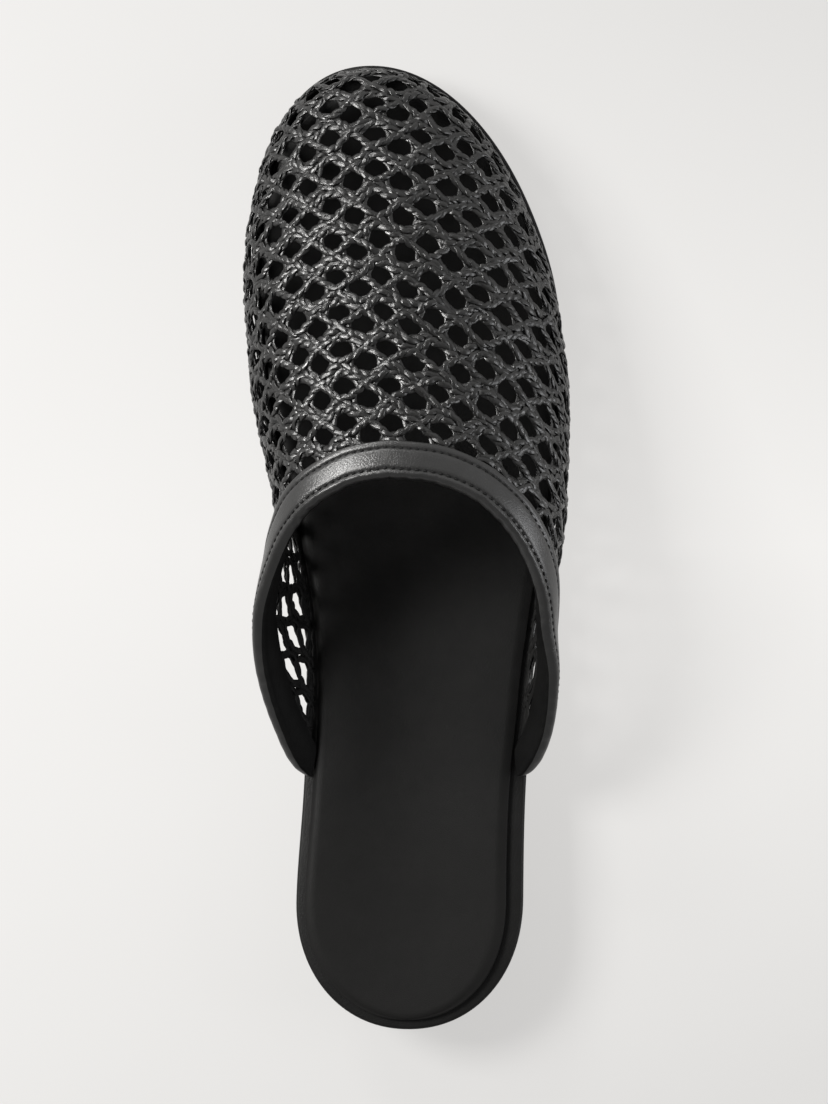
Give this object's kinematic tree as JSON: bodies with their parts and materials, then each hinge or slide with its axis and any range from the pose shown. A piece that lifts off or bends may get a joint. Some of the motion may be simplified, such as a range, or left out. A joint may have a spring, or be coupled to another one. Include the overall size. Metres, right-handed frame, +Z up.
{
  "type": "mule shoe",
  "caption": "Open-backed black mule for the right foot with a crocheted mesh vamp, folded leather collar binding, leather insole and a low heel.",
  "frame": {"origin": "on the floor, under the middle of the shoe's box", "axes": "+Y from heel to toe, +X to the outer (lateral) side of the foot, +Z up from the floor"},
  "size_m": [0.088, 0.2558, 0.0614],
  "materials": {
    "black_raffia": "glossy twisted raffia, crocheted",
    "black_binding_leather": "smooth satin leather",
    "black_insole_leather": "fine-grained matt leather",
    "black_sole_leather": "dyed matt sole leather"
  },
  "bodies": {
    "root": {"outsole": "black_sole_leather", "heel": "black_sole_leather", "insole": "black_insole_leather", "upper": "black_raffia", "collar_binding": "black_binding_leather"}
  },
  "joints": []
}
